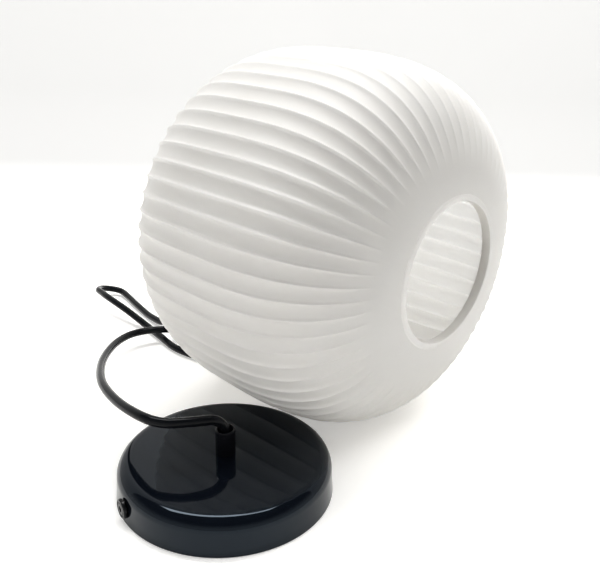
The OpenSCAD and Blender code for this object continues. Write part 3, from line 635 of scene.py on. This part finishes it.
dressing = {
    "zincSteel": ["ceiling_bracket", "grip_washer", "grip_nut", "canopy_stop_screw", "terminal_screws",
                  "block_screw", "holder_stop_screw", "base_screws"],
    "satinBlack": ["side_screw_front", "side_screw_rear"],
    "nylonWhite": ["canopy_cord_stop", "holder_cord_stop", "terminal_block"],
    "glazedBase": ["contact_base"],
    "bareBrass": ["terminal_tubes", "centre_contact", "side_contact"],
    "mouldedBlack": ["shade_ring"],
    "softRubber": ["upper_gasket", "lower_gasket"],
    "wireBrown": ["canopy_live_wire", "holder_live_wire"],
    "wireBlue": ["canopy_neutral_wire", "holder_neutral_wire"],
}
for finishName, nodes in dressing.items():
    for node in nodes:
        slots = frame["nodes"][node].data.materials
        slots.clear()
        slots.append(bpy.data.materials[finishName])
print("small pieces dressed")

# Stage: a pale table that sweeps up into a wall, a studio sky and softboxes

stage = {
    "near": -3.0, "bendAt": 0.66, "bendRadius": 0.15,
    "bendShade": 0.043,  # height over which the table's tone becomes the wall's
    "wallHeight": 1.6, "halfWidth": 4.0, "drop": 0.0003,
    "tableColor": (0.90, 0.892, 0.87), "wallColor": (0.20, 0.199, 0.195),
    "tableLift": 0.36, "wallLift": 0.71, "liftColor": (1.0, 0.995, 0.98),
    "fadeFrom": 0.9, "fadeTo": 2.2, "farLift": 0.88,  # the far table stays pale without the softboxes
}
sky = {
    "color": (0.90, 0.895, 0.88), "light": 0.12, "top": 0.06,
    "fadeFrom": 0.2, "fadeTo": 0.6,  # upward part of the direction looked in
}


def seenDirectly(tree):
    # 1 where the camera sees the surface, also by reflection or through glass
    path = addNode(tree, "ShaderNodeLightPath").outputs
    seen = calc(tree, "MAXIMUM", path["Is Camera Ray"], path["Is Glossy Ray"])
    return calc(tree, "MAXIMUM", seen, path["Is Transmission Ray"])


def stageFinish():
    material = bpy.data.materials.new("paleTable")
    material.use_nodes = True
    tree = material.node_tree
    tree.nodes.remove(tree.nodes["Principled BSDF"])
    place = addNode(tree, "ShaderNodeTexCoord").outputs["Object"]
    height = addNode(tree, "ShaderNodeSeparateXYZ", {0: place}).outputs["Z"]
    rise = remap(tree, height, 0.0, 1.0, end=stage["bendShade"], interpolation_type="SMOOTHSTEP")
    color = mixColor(tree, rise, (*stage["tableColor"], 1), (*stage["wallColor"], 1))
    distance = vectorCalc(tree, "LENGTH", place)["Value"]
    tableLift = remap(tree, distance, stage["tableLift"], stage["farLift"],
                      stage["fadeFrom"], stage["fadeTo"])
    lift = remap(tree, rise, tableLift, stage["wallLift"])
    matt = addNode(tree, "ShaderNodeBsdfDiffuse", {"Color": color})
    glow = addNode(tree, "ShaderNodeEmission", {
        "Color": (*stage["liftColor"], 1), "Strength": calc(tree, "MULTIPLY", lift, seenDirectly(tree))})
    both = addNode(tree, "ShaderNodeAddShader", {0: matt.outputs[0], 1: glow.outputs[0]})
    # The wall shows from its front alone, so that the lamp can be looked at from behind too
    behind = addNode(tree, "ShaderNodeNewGeometry").outputs["Backfacing"]
    clear = addNode(tree, "ShaderNodeBsdfTransparent")
    oneSided = addNode(tree, "ShaderNodeMixShader", {0: behind, 1: both.outputs[0], 2: clear.outputs[0]})
    tree.links.new(oneSided.outputs[0], tree.nodes["Material Output"].inputs["Surface"])
    return material


def makeStage():
    look = Vector(viewpoint["look"])
    away = Vector((look.x, look.y, 0)).normalized()
    side = Vector((away.y, -away.x, 0))
    line = [(stage["near"], 0.0)]
    line += arc((stage["bendAt"], stage["bendRadius"]), stage["bendRadius"], -90, 0, steps=24)
    line += [(stage["bendAt"] + stage["bendRadius"], stage["wallHeight"])]
    mesh = bpy.data.meshes.new("table")
    points = []
    for across in (-stage["halfWidth"], stage["halfWidth"]):
        points += [away * along + side * across + Vector((0, 0, z - stage["drop"])) for along, z in line]
    count = len(line)
    mesh.from_pydata(points, [], [(i, count + i, count + i + 1, i + 1) for i in range(count - 1)])
    mesh.polygons.foreach_set("use_smooth", [True] * len(mesh.polygons))
    mesh.materials.append(stageFinish())
    table = bpy.data.objects.new("table", mesh)
    scene.collection.objects.link(table)


def makeSky():
    world = bpy.data.worlds.new("sky")
    scene.world = world
    world.use_nodes = True
    tree = world.node_tree
    strength = remap(tree, seenDirectly(tree), sky["light"], 1.0)
    direction = addNode(tree, "ShaderNodeTexCoord").outputs["Generated"]
    height = addNode(tree, "ShaderNodeSeparateXYZ", {0: direction}).outputs["Z"]
    # Pale near the horizon and dark overhead, as in a studio
    fade = remap(tree, height, 1.0, sky["top"], sky["fadeFrom"], sky["fadeTo"])
    back = tree.nodes["Background"]
    back.inputs["Color"].default_value = (*sky["color"], 1)
    tree.links.new(calc(tree, "MULTIPLY", strength, fade), back.inputs["Strength"])


# All softboxes face the shade; turns are in degrees and powers in watts
softboxes = {
    "overhead": {"place": (-0.30, 0.20, 1.30), "size": (1.1, 0.3), "turn": -28, "power": 14.6},
    "topFront": {"place": (0.45, 0.20, 1.08), "size": (0.5, 0.5), "power": 2.9, "fill": True},
    "behind": {"place": (0.25, 0.65, 0.95), "size": (0.8, 0.6), "power": 5.2, "fill": True},
    "back": {"place": (-0.05, 0.66, 0.16), "size": (0.7, 0.5), "power": 1.5, "fill": True},
    "left": {"place": (-0.05, -1.10, 0.75), "size": (0.7, 0.7), "power": 2.0, "fill": True},
    "lowLeft": {"place": (-0.50, -1.02, 0.28), "size": (1.0, 0.4), "power": 4.4, "fill": True},
    "front": {"place": (0.8, -0.7, 0.5), "size": (1.0, 1.0), "power": 0.3, "fill": True},
    "bounce": {"place": (0.16, -0.08, 0.03), "size": (0.3, 0.12), "power": 0.10, "fill": True},
}


def makeSoftboxes():
    for name, box in softboxes.items():
        light = bpy.data.lights.new(name, "AREA")
        light.shape = "RECTANGLE"
        light.size, light.size_y = box["size"]
        light.energy = box["power"]
        lamp = bpy.data.objects.new(name, light)
        lamp.location = box["place"]
        aim = (headCentre - lamp.location).to_track_quat("-Z", "Y").to_matrix()
        turn = Matrix.Rotation(math.radians(box.get("turn", 0)), 3, "Z")
        lamp.rotation_euler = (aim @ turn).to_euler()
        lamp.visible_camera = False
        lamp.visible_glossy = not box.get("fill", False)  # a fill light leaves no mark on the gloss
        scene.collection.objects.link(lamp)


makeStage()
makeSky()
makeSoftboxes()
print("stage lit")
